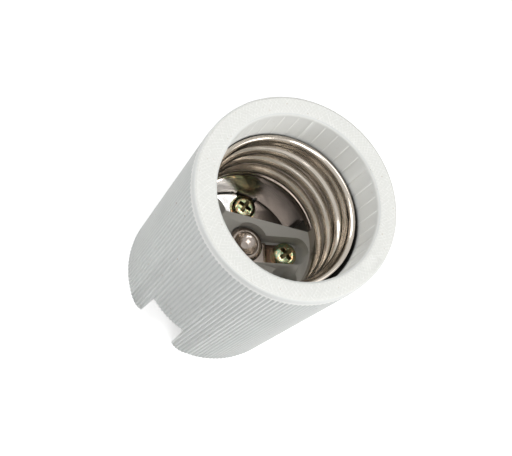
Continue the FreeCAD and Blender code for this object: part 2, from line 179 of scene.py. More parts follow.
# ---------------------------------------------------------------- mesh helpers

def new_object(name, verts, faces):
    """Object from vertices in millimetres."""
    mesh = bpy.data.meshes.new(name)
    mesh.from_pydata([Vector(v) * MM for v in verts], [], faces)
    mesh.validate()
    obj = bpy.data.objects.new(name, mesh)
    scene.collection.objects.link(obj)
    return obj


def outward(obj, merge=None):
    """Turns all faces outward, and first merges vertices that are closer than merge."""
    bm = bmesh.new()
    bm.from_mesh(obj.data)
    if merge:
        bmesh.ops.remove_doubles(bm, verts=bm.verts, dist=merge * MM)
    bmesh.ops.recalc_face_normals(bm, faces=bm.faces)
    bm.to_mesh(obj.data)
    bm.free()
    return obj


def turned(obj, angle, axis="Z"):
    """Turns the mesh of obj about an axis."""
    obj.data.transform(Matrix.Rotation(math.radians(angle), 4, axis))
    return obj


def moved(obj, step):
    """Moves the mesh of obj by a step."""
    obj.data.transform(Matrix.Translation(Vector(step) * MM))
    return obj


def applied(obj):
    """Applies the modifiers of obj."""
    bpy.context.view_layer.update()
    graph = bpy.context.evaluated_depsgraph_get()
    mesh = bpy.data.meshes.new_from_object(obj.evaluated_get(graph))
    obj.modifiers.clear()
    obj.data = mesh
    return obj


def boolean(obj, tool, operation):
    """Exact boolean of obj with tool, which is used up."""
    modifier = obj.modifiers.new("cut", "BOOLEAN")
    modifier.solver = "EXACT"
    modifier.operation = operation
    modifier.object = tool
    applied(obj)
    bpy.data.objects.remove(tool)
    return obj


def thickened(obj, thickness, side=1.0, even=True):
    """Gives a surface its thickness."""
    modifier = obj.modifiers.new("thickness", "SOLIDIFY")
    modifier.thickness = thickness * MM
    modifier.offset = side
    modifier.use_even_offset = even
    return applied(obj)


def bevelled(obj, width, angle=35.0):
    """Rounds the edges of obj that are sharper than angle."""
    modifier = obj.modifiers.new("bevel", "BEVEL")
    modifier.width = width * MM
    modifier.segments = 2
    modifier.limit_method = "ANGLE"
    modifier.angle_limit = math.radians(angle)
    modifier.use_clamp_overlap = True
    return applied(obj)


def shaded(obj, angle=38.0):
    """Smooth shading, but for sharp edges and for level faces, which would show their triangles."""
    mesh = obj.data
    level = 0.9998
    mesh.polygons.foreach_set("use_smooth", [abs(face.normal.z) < level for face in mesh.polygons])
    mesh.set_sharp_from_angle(angle=math.radians(angle))
    return obj


def copy_of(node, name):
    """Copy of a CAD node with its triangles merged back into whole faces."""
    bm = bmesh.new()
    bm.from_mesh(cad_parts[node].data)
    bmesh.ops.remove_doubles(bm, verts=bm.verts, dist=0.001 * MM)
    bmesh.ops.dissolve_limit(bm, angle_limit=math.radians(0.5), verts=bm.verts, edges=bm.edges)
    mesh = bpy.data.meshes.new(name)
    bm.to_mesh(mesh)
    bm.free()
    obj = bpy.data.objects.new(name, mesh)
    scene.collection.objects.link(obj)
    return obj


def lathe(name, profile, segments=96):
    """Closed solid of revolution; the profile runs from the axis round to the axis again."""
    verts = []
    for k in range(segments):
        angle = 360.0 * k / segments
        verts += [polar(radius, angle, z) for radius, z in profile]
    count = len(profile)
    faces = []
    for k in range(segments):
        a, b = k * count, (k + 1) % segments * count
        faces += [(a + j, b + j, b + j + 1, a + j + 1) for j in range(count - 1)]
    return outward(new_object(name, verts, faces), merge=0.0005)


def tube(name, verts, columns):
    """Closed solid from upright rows of columns vertices each, lowest row first."""
    rows = len(verts) // columns
    faces = []
    for j in range(rows - 1):
        for k in range(columns):
            a, b = j * columns + k, j * columns + (k + 1) % columns
            faces.append((a, b, b + columns, a + columns))
    faces.append(tuple(reversed(range(columns))))
    faces.append(tuple(range((rows - 1) * columns, rows * columns)))
    return new_object(name, verts, faces)


def rounded(points, radii, steps=5):
    """Profile through points with its corners rounded."""
    out = []
    for k, (point, radius) in enumerate(zip(points, radii)):
        here = Vector(point)
        if radius == 0 or k in (0, len(points) - 1):
            out.append(here)
            continue
        before = (Vector(points[k - 1]) - here).normalized()
        after = (Vector(points[k + 1]) - here).normalized()
        half = before.angle(after) / 2
        run = radius / math.tan(half)
        centre = here + (before + after).normalized() * (radius / math.sin(half))
        start, end = here + before * run - centre, here + after * run - centre
        turn = start.angle(end)
        for s in range(steps + 1):
            share = s / steps
            weight = math.sin((1 - share) * turn), math.sin(share * turn)
            out.append(centre + (start * weight[0] + end * weight[1]) / math.sin(turn))
    return [tuple(p) for p in out]


def cylinder(name, radius, low, high, centre=(0, 0), segments=64):
    """Upright cylinder."""
    obj = lathe(name, [(0, low), (radius, low), (radius, high), (0, high)], segments)
    return moved(obj, (centre[0], centre[1], 0))


def join(obj, *others):
    """Adds the meshes of the others to obj."""
    bm = bmesh.new()
    for each in (obj, *others):
        bm.from_mesh(each.data)
    bm.to_mesh(obj.data)
    bm.free()
    for each in others:
        bpy.data.objects.remove(each)
    return obj


def place(obj, body, material, node):
    """Smooths a finished piece's shading, gives it its material and body, and hides the CAD node that it
    stands for.
    """
    shaded(obj)
    obj.data.materials.clear()
    obj.data.materials.append(material)
    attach(obj, body)
    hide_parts(node)
    return obj


# ---------------------------------------------------------------- materials

class Nodes:
    """Short calls for building one material's node tree."""

    def __init__(self, name):
        self.material = bpy.data.materials.new(name)
        self.material.use_nodes = True
        self.tree = self.material.node_tree
        self.bsdf = self.tree.nodes["Principled BSDF"]

    def add(self, kind, **settings):
        node = self.tree.nodes.new(kind)
        for key, value in settings.items():
            setattr(node, key, value)
        return node

    def feed(self, socket, value):
        if isinstance(value, bpy.types.NodeSocket):
            self.tree.links.new(value, socket)
        else:
            socket.default_value = value

    def math(self, operation, first, second=0.0, third=None):
        node = self.add("ShaderNodeMath", operation=operation)
        self.feed(node.inputs[0], first)
        self.feed(node.inputs[1], second)
        if third is not None:
            self.feed(node.inputs[2], third)
        return node.outputs[0]

    def clamped(self, value):
        """Value held between 0 and 1."""
        return self.math("MINIMUM", self.math("MAXIMUM", value, 0.0), 1.0)

    def above(self, value, limit):
        """1 where value is greater than limit, else 0."""
        return self.math("GREATER_THAN", value, limit)

    def below(self, value, limit):
        """1 where value is less than limit, else 0."""
        return self.math("LESS_THAN", value, limit)

    def both(self, first, second):
        """Product of two masks or values."""
        return self.math("MULTIPLY", first, second)

    def place(self):
        """Object coordinates in millimetres."""
        coords = self.add("ShaderNodeTexCoord").outputs["Object"]
        mapping = self.add("ShaderNodeMapping")
        self.feed(mapping.inputs["Vector"], coords)
        mapping.inputs["Scale"].default_value = (1 / MM, 1 / MM, 1 / MM)
        return mapping.outputs[0]

    def split(self, vector):
        node = self.add("ShaderNodeSeparateXYZ")
        self.feed(node.inputs[0], vector)
        return node.outputs

    def vector(self, *parts):
        node = self.add("ShaderNodeCombineXYZ")
        for socket, part in zip(node.inputs, parts):
            self.feed(socket, part)
        return node.outputs[0]

    def noise(self, vector, scale, detail=3.0, roughness=0.5):
        node = self.add("ShaderNodeTexNoise")
        self.feed(node.inputs["Vector"], vector)
        node.inputs["Scale"].default_value = scale
        node.inputs["Detail"].default_value = detail
        node.inputs["Roughness"].default_value = roughness
        return node

    def ramp(self, value, *stops):
        node = self.add("ShaderNodeValToRGB")
        self.feed(node.inputs[0], value)
        elements = node.color_ramp.elements
        while len(elements) < len(stops):
            elements.new(0.5)
        for element, (position, colour) in zip(elements, stops):
            element.position = position
            element.color = (*colour, 1.0)
        return node.outputs[0]

    def mix(self, share, first, second):
        node = self.add("ShaderNodeMix", data_type="RGBA")
        self.feed(node.inputs[0], share)
        for socket, value in ((node.inputs[6], first), (node.inputs[7], second)):
            self.feed(socket, value if isinstance(value, bpy.types.NodeSocket) else (*value, 1.0))
        return node.outputs[2]

    def tinted(self, colour, where, share, tint):
        """Colour with a share of tint in the places where the mask is 1."""
        return self.mix(self.both(where, share), colour, tint)

    def bump(self, height, distance, strength=1.0, normal=None):
        node = self.add("ShaderNodeBump")
        node.inputs["Distance"].default_value = distance * MM
        node.inputs["Strength"].default_value = strength
        self.feed(node.inputs["Height"], height)
        if normal is not None:
            self.feed(node.inputs["Normal"], normal)
        return node.outputs[0]

    def around(self, vector):
        """Angle about the axis in radians, radius and height of a point."""
        x, y, z = self.split(vector)
        angle = self.math("ARCTAN2", y, x)
        radius = self.math("SQRT", self.math("ADD", self.both(x, x), self.both(y, y)))
        return angle, radius, z

    def set(self, **values):
        for key, value in values.items():
            socket = self.bsdf.inputs[key.replace("_", " ")]
            if isinstance(value, tuple) and len(value) == 3:
                value = (*value, 1.0)
            self.feed(socket, value)
        return self


def specks(n, colour, where, scale, size, share, tint):
    """Small dots in a part of the cells of a Voronoi pattern."""
    cells = n.add("ShaderNodeTexVoronoi")
    n.feed(cells.inputs["Vector"], where)
    cells.inputs["Scale"].default_value = scale
    pick = n.add("ShaderNodeSeparateColor")
    n.feed(pick.inputs[0], cells.outputs["Color"])
    dot = n.below(cells.outputs["Distance"], n.math("MULTIPLY", pick.outputs[1], size))
    chosen = n.above(pick.outputs[0], 1 - share)
    return n.tinted(colour, n.both(dot, chosen), 0.75, tint)


def rib_grooves(n, radius, height):
    """1 at the floor of a groove between two ribs, 0 on the ribs and elsewhere."""
    crest = n.math("MULTIPLY_ADD", height, RIB_SLOPE, BACK_RADIUS)
    depth = n.math("MULTIPLY", n.math("SUBTRACT", crest, radius), 1.0 / RIB_DEPTH)
    ribbed = n.both(n.above(radius, SKIN_INSIDE), n.below(height, RIBS_END - 0.2))
    return n.both(n.clamped(depth), ribbed)


def mould_line_highlights(n, angle, height, mouth):
    """1 on the lines that the mould leaves on the wall of the mouth, where a highlight is painted along each
    ridge.
    """
    phase = 0.5 - MOULD_TURN * MOULD_LINES / 360.0
    turns = n.math("FRACT", n.math("MULTIPLY_ADD", angle, MOULD_LINES / (2 * math.pi), phase))
    aside = n.math("ABSOLUTE", n.math("SUBTRACT", turns, 0.5))
    half_width = 0.13         # a little more than the ridge itself
    line = n.below(aside, half_width * MOULD_LINES / (2 * math.pi * BORE_RADIUS))
    return n.both(line, n.both(mouth, n.below(height, MOULD_LINE_END)))


def face_scratches(n, where, angle, radius, face):
    """Broken fine strokes that cross each other on the ground mouth face."""
    strokes = []
    for lean in (-1, 1):
        around = n.math("MULTIPLY", angle, 155.0 + 8 * lean)
        outward_run = n.math("MULTIPLY", radius, 5.0 * lean)
        wave = n.math("SINE", n.math("ADD", around, outward_run))
        broken = n.noise(where, 0.95 + 0.15 * lean, 2.0).outputs[0]
        patches = n.math("SUBTRACT", n.math("MULTIPLY", broken, 4.0), 1.6)
        strokes.append(n.both(n.math("MAXIMUM", n.math("SUBTRACT", wave, 0.35), 0.0),
                              n.math("MAXIMUM", patches, 0.0)))
    return n.both(n.math("MINIMUM", n.math("MAXIMUM", strokes[0], strokes[1]), 1.0), face)


def porcelain_material():
    """Unglazed off-white porcelain: faint mottling, fine grain, fired-in specks, ground mouth face, painted
    shade and highlights.
    """
    n = Nodes("porcelain")
    where = n.place()
    angle, radius, height = n.around(where)
    cloud = n.noise(where, 0.09, 3.0).outputs[0]
    colour = n.ramp(cloud, (0.3, (0.755, 0.768, 0.748)), (0.7, (0.80, 0.812, 0.79)))
    colour = specks(n, colour, where, 0.8, 0.2, 0.28, (0.42, 0.28, 0.16))
    colour = specks(n, colour, where, 1.3, 0.2, 0.16, (0.50, 0.46, 0.42))
    # Painted shade on the floors of the grooves between the ribs.
    colour = n.tinted(colour, rib_grooves(n, radius, height), 0.55, (0.56, 0.585, 0.575))

    # Smooth collar, with an uneven bright seam where the ribs end
    outside = n.above(radius, COLLAR_RADIUS - 1.0)
    collar = n.both(outside, n.above(height, RIBS_END + 0.1))
    colour = n.tinted(colour, collar, 0.7, (0.87, 0.88, 0.855))
    chips = n.noise(where, 1.6, 3.0).outputs[0]
    from_seam = n.math("ABSOLUTE", n.math("SUBTRACT", height, RIBS_END + 0.15))
    seam = n.below(from_seam, n.math("MULTIPLY", chips, 0.9))
    colour = n.tinted(colour, n.both(seam, outside), 0.9, (0.96, 0.96, 0.93))

    # Wall of the mouth, growing darker toward the platform: painted shade deep in the bore
    deep = n.below(radius, BORE_RADIUS + 0.3)
    mouth = n.both(deep, n.above(height, SHELL_HIGH - 0.2))
    colour = n.tinted(colour, mouth, 0.7, (0.90, 0.905, 0.87))
    # Painted highlight along the ridges of the mould lines.
    colour = n.tinted(colour, mould_line_highlights(n, angle, height, mouth), 0.9, (0.98, 0.98, 0.95))
    shade_start, shade_run = PLATFORM_Z + 16.0, 14.0
    fall = n.math("MULTIPLY_ADD", height, -1.0 / shade_run, shade_start / shade_run)
    colour = n.tinted(colour, n.both(n.clamped(fall), deep), 0.75, (0.40, 0.385, 0.345))

    # Mouth face
    face = n.above(height, BODY_LENGTH - 0.12)
    scratch = face_scratches(n, where, angle, radius, face)
    colour = n.tinted(colour, face, 0.6, (0.84, 0.837, 0.785))
    colour = n.tinted(colour, scratch, 0.9, (0.98, 0.98, 0.95))

    # Narrow space behind the shell: painted shadow, near black, on the porcelain wall of the gap
    behind = n.clamped(n.math("MULTIPLY_ADD", height, -1.0, SHELL_HIGH - 0.4))
    wall = n.both(n.above(radius, BORE_RADIUS - 0.35), deep)
    wall = n.both(wall, n.above(height, PLATFORM_Z + 2.0))
    colour = n.mix(n.both(behind, wall), colour, (0.05, 0.048, 0.045))

    grain = n.noise(where, 3.0, 4.0, 0.65).outputs[0]
    normal = n.bump(grain, 0.03, 0.6)
    normal = n.bump(scratch, 0.06, 0.7, normal)
    n.set(Base_Color=colour, Roughness=0.62, Normal=normal, Specular_IOR_Level=0.3)
    return n.material


def nickel_material(name, tone, roughness):
    """Nickel plating over rolled sheet: fine streaks round the axis, a brushed leg in painted shade and a
    grainy edge.
    """
    n = Nodes(name)
    where = n.place()
    angle, radius, height = n.around(where)
    streaks = n.vector(n.math("MULTIPLY", angle, 1.5), n.math("MULTIPLY", height, 6.0), radius)
    lines = n.noise(streaks, 1.0, 3.0, 0.6).outputs[0]
    cloud = n.noise(where, 0.3, 3.0).outputs[0]
    colour = n.mix(cloud, tuple(c * 0.9 for c in tone), tone)

    # Painted shade on the leg deep in the holder, broken by the brushing strokes.
    leg = n.below(height, PLATFORM_Z - 0.1)
    brushed = n.vector(n.math("MULTIPLY", angle, 9.0), n.math("MULTIPLY", height, 6.0))
    strokes = n.noise(brushed, 1.0, 3.0, 0.65).outputs[0]
    leg_shade = n.math("MULTIPLY_ADD", strokes, 0.6, 0.5)
    colour = n.mix(n.both(leg, leg_shade), colour, tuple(c * 0.25 for c in tone))

    edge = n.both(n.above(radius, ROOT_RADIUS - 0.25), n.above(height, SHELL_HIGH - 0.6))
    knurl = n.math("SINE", n.math("MULTIPLY", angle, 280.0))
    rough = n.math("MULTIPLY_ADD", lines, 0.10, roughness - 0.05)
    rough = n.math("MULTIPLY_ADD", leg, 0.12, rough)
    rough = n.math("MULTIPLY_ADD", edge, 0.22, rough)
    normal = n.bump(lines, 0.002, 0.3)
    normal = n.bump(n.both(strokes, leg), 0.03, 0.6, normal)
    normal = n.bump(n.both(knurl, edge), 0.09, 1.0, normal)
    n.set(Base_Color=colour, Roughness=rough, Normal=normal, Metallic=1.0)
    return n.material


def passivated_material():
    """Yellow zinc passivation: olive, gold, green and pink films over bright zinc."""
    n = Nodes("yellow_zinc")
    where = n.place()
    film = n.noise(where, 0.75, 2.0, 0.6)
    film.inputs["Distortion"].default_value = 1.6
    colour = n.ramp(film.outputs[0],
                    (0.32, (0.42, 0.18, 0.15)), (0.40, (0.70, 0.44, 0.24)), (0.47, (0.66, 0.62, 0.38)),
                    (0.54, (0.20, 0.44, 0.26)), (0.61, (0.62, 0.66, 0.50)), (0.70, (0.74, 0.42, 0.38)))
    grain = n.noise(where, 4.0, 2.0).outputs[0]
    n.set(Base_Color=colour, Roughness=0.15, Normal=n.bump(grain, 0.008, 0.4), Metallic=1.0)
    return n.material


def metal_material(name, low, high, roughness, low_shade=None, dent_highlight=None):
    """Plain metal with a cloudy tone and fine grain.

    The last two arguments, if given, are painted shade as (height, tint), a tint below that height, and a
    dent with
    a painted highlight as (start, lean along x, lean along y): a brighter part, tipped by the leans, where y
    - x is greater than start.
    """
    n = Nodes(name)
    where = n.place()
    x, y, z = n.split(where)
    cloud = n.noise(where, 0.35, 4.0).outputs[0]
    grain = n.noise(where, 3.5, 3.0).outputs[0]
    rough = n.math("MULTIPLY_ADD", grain, 0.15, roughness - 0.07)
    colour = n.mix(cloud, low, high)
    # Painted shade: a darker tint below the given height.
    if low_shade:
        top, tint = low_shade
        share = n.math("MULTIPLY_ADD", z, -1.0, top + 0.5)
        colour = n.mix(n.clamped(share), colour, tint)
    normal = None
    # The bump tips the surface like a shallow dent; the near-white tint on it is a painted highlight.
    if dent_highlight:
        start, lean_x, lean_y = dent_highlight
        inside = n.clamped(n.math("SUBTRACT", n.math("SUBTRACT", y, x), start))
        lean = n.math("ADD", n.math("MULTIPLY", x, lean_x), n.math("MULTIPLY", y, lean_y))
        normal = n.bump(n.both(lean, inside), 1.0)
        colour = n.tinted(colour, inside, 0.9, (0.92, 0.90, 0.88))
    n.set(Base_Color=colour, Roughness=rough, Normal=n.bump(grain, 0.008, 0.4, normal), Metallic=1.0)
    return n.material


def turned_material(name, low, high):
    """Nickel plating with turning marks about the axis."""
    n = Nodes(name)
    where = n.place()
    angle, radius, _ = n.around(where)
    swirl = n.math("ADD", n.math("MULTIPLY", radius, 9.0), n.math("MULTIPLY", n.math("SINE", angle), 1.3))
    rings = n.math("SINE", swirl)
    cloud = n.noise(where, 0.5, 3.0).outputs[0]
    rough = n.math("MULTIPLY_ADD", cloud, 0.10, 0.09)
    n.set(Base_Color=n.mix(cloud, low, high), Roughness=rough, Normal=n.bump(rings, 0.008, 0.3), Metallic=1.0)
    return n.material


porcelain = porcelain_material()
shell_metal = nickel_material("rolled_nickel", (0.55, 0.495, 0.43), 0.13)
# The plate's left part carries a painted highlight.
plate_metal = metal_material("plate_nickel", (0.38, 0.34, 0.325), (0.52, 0.475, 0.46), 0.15,
                             dent_highlight=(-2.2, 0.30, 0.08))
CONTACT_DARK, CONTACT_LIGHT = (0.27, 0.23, 0.20), (0.45, 0.395, 0.355)
# The strip's foot, low in the slot, carries painted shade.
strip_metal = metal_material("strip_nickel", CONTACT_DARK, CONTACT_LIGHT, 0.15,
                             low_shade=(ARM_TOP - STRIP, (0.24, 0.17, 0.13)))
button_metal = turned_material("turned_nickel", CONTACT_DARK, CONTACT_LIGHT)
yellow_zinc = passivated_material()
brass = metal_material("brass", (0.66, 0.48, 0.22), (0.82, 0.64, 0.34), 0.28)
zinc = metal_material("zinc", (0.56, 0.57, 0.58), (0.72, 0.73, 0.74), 0.30)
# Dark zinc for the painted shade in the screws' driver recesses.
recess_shade_zinc = metal_material("recess_shade_zinc", (0.10, 0.08, 0.04), (0.22, 0.19, 0.10), 0.35)


# ---------------------------------------------------------------- porcelain body

def ribbed_skin():
    """Closed barrel with soft ribs, the collar and the rounded edge of the mouth face."""
    columns = RIBS * RIB_SEGMENTS
    # Each row is its height, its radius at the rib crests and the share of the ribs' depth that it has.
    rows = [(-1.0, BACK_RADIUS - RIB_SLOPE, 1.0), (RIBS_END - 0.5, MOUTH_RADIUS - 0.5 * RIB_SLOPE, 1.0),
            (RIBS_END - 0.25, MOUTH_RADIUS - 0.03, 0.85), (RIBS_END - 0.05, MOUTH_RADIUS - 0.02, 0.4),
            (RIBS_END + 0.1, COLLAR_RADIUS + 0.05, 0.12), (RIBS_END + 0.25, COLLAR_RADIUS, 0.0)]
    for k in range(BEND_STEPS):
        turn = math.radians(15 * k)
        rows.append((BODY_LENGTH - COLLAR_EDGE + COLLAR_EDGE * math.sin(turn),
                     COLLAR_RADIUS - COLLAR_EDGE + COLLAR_EDGE * math.cos(turn), 0.0))
    rows.append((BODY_LENGTH + 1.0, COLLAR_RADIUS - COLLAR_EDGE, 0.0))
    verts = []
    for z, crest, share in rows:
        for k in range(columns):
            groove = 0.5 - 0.5 * math.cos(2 * math.pi * k / RIB_SEGMENTS)
            verts.append(polar(crest - RIB_DEPTH * share * groove, 360.0 * k / columns, z))
    return tube("skin", verts, columns)


def mould_line(angle, low, high):
    """Low rounded ridge on the wall of the mouth."""
    rise, half, sink = LINE_RISE, LINE_HALF_WIDTH, 0.25
    profile = [(sink, -half), (0.0, -half), (-rise * 0.8, -half * 0.45), (-rise, 0.0),
               (-rise * 0.8, half * 0.45), (0.0, half), (sink, half)]
    turn = Matrix.Rotation(math.radians(angle), 3, "Z")
    verts = []
    for z in (low, high):
        verts += [turn @ Vector((BORE_RADIUS + depth, side, z)) for depth, side in profile]
    count = len(profile)
    faces = [(k, (k + 1) % count, (k + 1) % count + count, k + count) for k in range(count)]
    faces += [tuple(reversed(range(count))), tuple(range(count, 2 * count))]
    return outward(new_object("line", verts, faces))


def lean_in(vertex):
    """Leans a vertex of the lip toward the axis."""
    x, y, z = vertex.co
    reach = math.hypot(x, y)
    aside = abs((math.degrees(math.atan2(y, x)) - LIP_SIDE + 180) % 360 - 180)
    move = LIP_LEAN * MM * ease(aside, 70, 25) * ease(z / MM, LIP_LOW, BODY_LENGTH - 1.5)
    vertex.co.x, vertex.co.y = x - x / reach * move, y - y / reach * move


def porcelain_piece():
    """The CAD body with soft ribs, eased edges and the fine lines that the mould leaves in the mouth."""
    body = copy_of("porcelain_body", "body")
    past = (MOUTH_RADIUS + 2) * MM
    for vertex in body.data.vertices:
        x, y, z = vertex.co
        reach = math.hypot(x, y)
        if reach < SKIN_INSIDE * MM:
            if BORE_RADIUS - 0.1 < reach / MM < BORE_RADIUS + 1.6 and z / MM > LIP_LOW:
                lean_in(vertex)
        # The ribbed side moves out past the skin, which then cuts it. The notches' walls stay where they are.
        elif 0.01 * MM < z < (BODY_LENGTH - COLLAR_HEIGHT - 2) * MM:
            vertex.co.x = math.copysign(past, x)
        else:
            vertex.co.x, vertex.co.y = x * past / reach, y * past / reach
    boolean(body, ribbed_skin(), "INTERSECT")
    lines = [mould_line(MOULD_TURN + 360.0 * k / MOULD_LINES, PLATFORM_Z + 12.0, MOULD_LINE_END)
             for k in range(MOULD_LINES)]
    return boolean(body, join(*lines), "UNION")


# ---------------------------------------------------------------- screw shell

def shell_radius(angle, z):
    """Inside radius of the rolled sheet, whose crests and roots are arcs that touch each other."""
    turns = (z - CREST_HEIGHT) / PITCH - angle / 360.0
    from_crest = abs((turns + 0.5) % 1.0 - 0.5) * PITCH
    full = ROOT_RADIUS - CREST_RADIUS
    roll = (full ** 2 + (PITCH / 2) ** 2) / (4 * full)
    if from_crest < PITCH / 4:
        rise = full - roll + math.sqrt(roll ** 2 - from_crest ** 2)
    else:
        rise = roll - math.sqrt(roll ** 2 - (PITCH / 2 - from_crest) ** 2)
    rim_start = SHELL_HIGH - RIM_HEIGHT
    foot_end = PLATFORM_Z + PLAIN_HEIGHT
    threaded = ROOT_RADIUS - rise * ease(z, rim_start, rim_start - RUN_IN)
    threaded -= (FLARE - RIM_REACH) * ease(z, rim_start - NECK_LOW, rim_start - NECK_HIGH)
    return PLAIN_RADIUS + (threaded - PLAIN_RADIUS) * ease(z, foot_end, foot_end + RUN_OUT)


def leg_flare(angle):
    """How far the leg leans outward beside its free edges."""
    return LEG_FLARE * sum(math.exp(-((angle - end) / LEG_FLARE_WIDTH) ** 2) for end in LEG_ANGLES)


def shell_path(angle):
    """Inside line of the sheet at one angle, from the leg's lower edge to the rolled rim."""
    leg_low = SHELL_LOW + LEG_GAP
    path = []
    for k in range(LEG_LEVELS):
        z = leg_low + (PLATFORM_Z - leg_low) * k / LEG_LEVELS
        lean = leg_flare(angle) * ease(z, PLATFORM_Z, PLATFORM_Z - LEG_FLARE_HEIGHT)
        path.append((PLAIN_RADIUS + lean, z))
    rim_start = SHELL_HIGH - FLARE
    for k in range(BARREL_LEVELS + 1):
        z = PLATFORM_Z + (rim_start - PLATFORM_Z) * k / BARREL_LEVELS
        path.append((shell_radius(angle, z), z))
    for k in range(1, RIM_LEVELS + 1):
        turn = math.radians(90.0 * k / RIM_LEVELS)
        path.append((ROOT_RADIUS + RIM_REACH - FLARE * math.cos(turn), rim_start + FLARE * math.sin(turn)))
    return path


def shell_sheet():
    """Rolled sheet with its leg, as one surface that is given its thickness outward."""
    columns = SHELL_COLUMNS
    low_angle, high_angle = LEG_ANGLES
    verts, faces = [], []
    for k in range(columns):
        angle = low_angle + 360.0 * k / columns
        path = shell_path(angle)
        verts += [polar(radius, angle, z) for radius, z in path]
    rows = len(path)
    for k in range(columns):
        middle = low_angle + 360.0 * (k + 0.5) / columns
        from_tab = abs(middle - SCREW_ANGLE) * math.pi / 180 * PLAIN_RADIUS
        beside_tab = TAB_WIDTH / 2 < from_tab < TAB_WIDTH / 2 + TAB_RELIEF
        for j in range(rows - 1):
            if j < LEG_LEVELS and (middle > high_angle or (beside_tab and j < 2)):
                continue
            a, b = k * rows + j, (k + 1) % columns * rows + j
            faces.append((a, a + 1, b + 1, b))
    sheet = new_object("sheet", verts, faces)
    bm = bmesh.new()
    bm.from_mesh(sheet.data)
    bmesh.ops.delete(bm, geom=[v for v in bm.verts if not v.link_faces], context="VERTS")
    bm.to_mesh(sheet.data)
    bm.free()
    return thickened(sheet, SHEET)


def shell_tab():
    """Tab bent inward from the leg, with the hole for the shell screw."""
    root = 1.2                # how far the tab's root runs up the leg past the relief cuts
    path = [(PLAIN_RADIUS, SHELL_LOW + LEG_GAP + TAB_RELIEF + root)]
    for k in range(BEND_STEPS):
        turn = math.radians(15 * k)
        path.append((PLAIN_RADIUS - TAB_BEND + TAB_BEND * math.cos(turn),
                     SHELL_LOW + SHEET + TAB_BEND - TAB_BEND * math.sin(turn)))
    path += [(PLAIN_RADIUS + SHEET - TAB_REACH, SHELL_LOW + SHEET)]
    half = TAB_WIDTH / 2
    verts = [(x, y, z) for x, z in path for y in (-half, half)]
    faces = [(2 * k, 2 * k + 1, 2 * k + 3, 2 * k + 2) for k in range(len(path) - 1)]
    tab = outward(thickened(new_object("tab", verts, faces), SHEET, side=-1.0, even=False))
    turned(tab, SCREW_ANGLE)
    hole = cylinder("hole", TAB_HOLE, SHELL_LOW - 1, SHELL_LOW + 2, polar(SCREW_REACH, SCREW_ANGLE)[:2])
    return boolean(tab, hole, "DIFFERENCE")


def shell_piece():
    return moved(join(shell_sheet(), shell_tab()), polar(*SHELL_SHIFT))


# ---------------------------------------------------------------- screws

def cross_tool(width, reach, depth, top):
    """Tapered cross that cuts a driver recess."""
    parts = []
    for turn in (0, 90):
        verts = []
        for z, share_w, share_l in ((top + 0.3, 1.15, 1.1), (top - depth, 0.55, 0.35)):
            for sx, sy in ((-1, -1), (1, -1), (1, 1), (-1, 1)):
                verts.append((sx * reach * share_l, sy * width / 2 * share_w, z))
        faces = [(3, 2, 1, 0), (4, 5, 6, 7), (0, 1, 5, 4), (1, 2, 6, 5), (2, 3, 7, 6), (3, 0, 4, 7)]
        parts.append(turned(outward(new_object("bar", verts, faces)), turn))
    return boolean(parts[0], parts[1], "UNION")


def screw_head(radius, height):
    """Pan head on z = 0 with a cross recess."""
    side = [(radius - 0.15, 0), (radius, 0.15), (radius, height * HEAD_SIDE)]
    profile = [(0, 0)] + rounded(side, (0, 0.1, 0))
    arc = []
    steps = 12
    for k in range(1, steps + 1):
        turn = math.radians(90.0 * k / steps)
        arc.append((radius * (HEAD_FLAT + (1 - HEAD_FLAT) * math.cos(turn) ** DOME_POWER),
                    height * (HEAD_SIDE + HEAD_DOME * math.sin(turn))))
    crown = [(radius * 0.15, height * 0.98), (0, height)]
    head = lathe("head", profile + arc + crown, 72)
    boolean(head, cross_tool(radius * 0.34, radius * 0.66, height * 0.75, height), "DIFFERENCE")
    return head


def threaded_shank(radius, pitch, low, high):
    """Rod with a right-hand thread that fades at its ends."""
    columns, per_turn = 28, 8
    rows = max(4, int((high - low) / pitch * per_turn))
    verts = []
    depth = 0.55 * pitch
    for j in range(rows + 1):
        z = low + (high - low) * j / rows
        fade = ease(z, low, low + pitch) * ease(z, high, high - pitch)
        tip = 0.25 * radius * (1 - ease(z, low, low + 0.3 * radius))
        for k in range(columns):
            phase = (z / pitch - k / columns) % 1.0
            groove = abs(2 * phase - 1)
            verts.append(polar(radius - tip - depth * groove * fade, 360.0 * k / columns, z))
    return tube("shank", verts, columns)


def paint_recess_shade(screw, node, head_height, flip):
    """Second material on the walls and floor of the driver recess: painted shade."""
    low, high = node_box(node)
    middle = node_middle(node)
    head_radius = (high.x - low.x) / 2
    seat = low.z + head_height if flip else high.z - head_height
    screw.data.materials.append(recess_shade_zinc)
    for face in screw.data.polygons:
        x, y, z = face.center / MM
        reach = math.hypot(x - middle.x, y - middle.y) / head_radius
        rise = (seat - z if flip else z - seat) / head_height
        past_flat = max(0.0, (reach - HEAD_FLAT) / (1 - HEAD_FLAT))
        crown = HEAD_SIDE + HEAD_DOME * math.sqrt(max(0.0, 1 - past_flat ** DOME_ROOT))
        if reach < 0.72 and 0.1 < rise < crown - 0.07:
            face.material_index = 1


def screw_piece(name, node, head_height, shank_radius, pitch, flip, turn):
    """Screw in the place of a CAD screw, its recess turned by an angle."""
    low, high = node_box(node)
    middle = node_middle(node)
    length = high.z - low.z - head_height
    head = turned(screw_head((high.x - low.x) / 2, head_height), turn)
    bevelled(head, 0.06, 40.0)
    screw = join(head, threaded_shank(shank_radius, pitch, -length, 0.02))
    screw.name = name
    if flip:
        turned(screw, 180.0, "X")
        seat = low.z + head_height
    else:
        seat = high.z - head_height
    return moved(screw, (middle.x, middle.y, seat))


# ---------------------------------------------------------------- centre contact

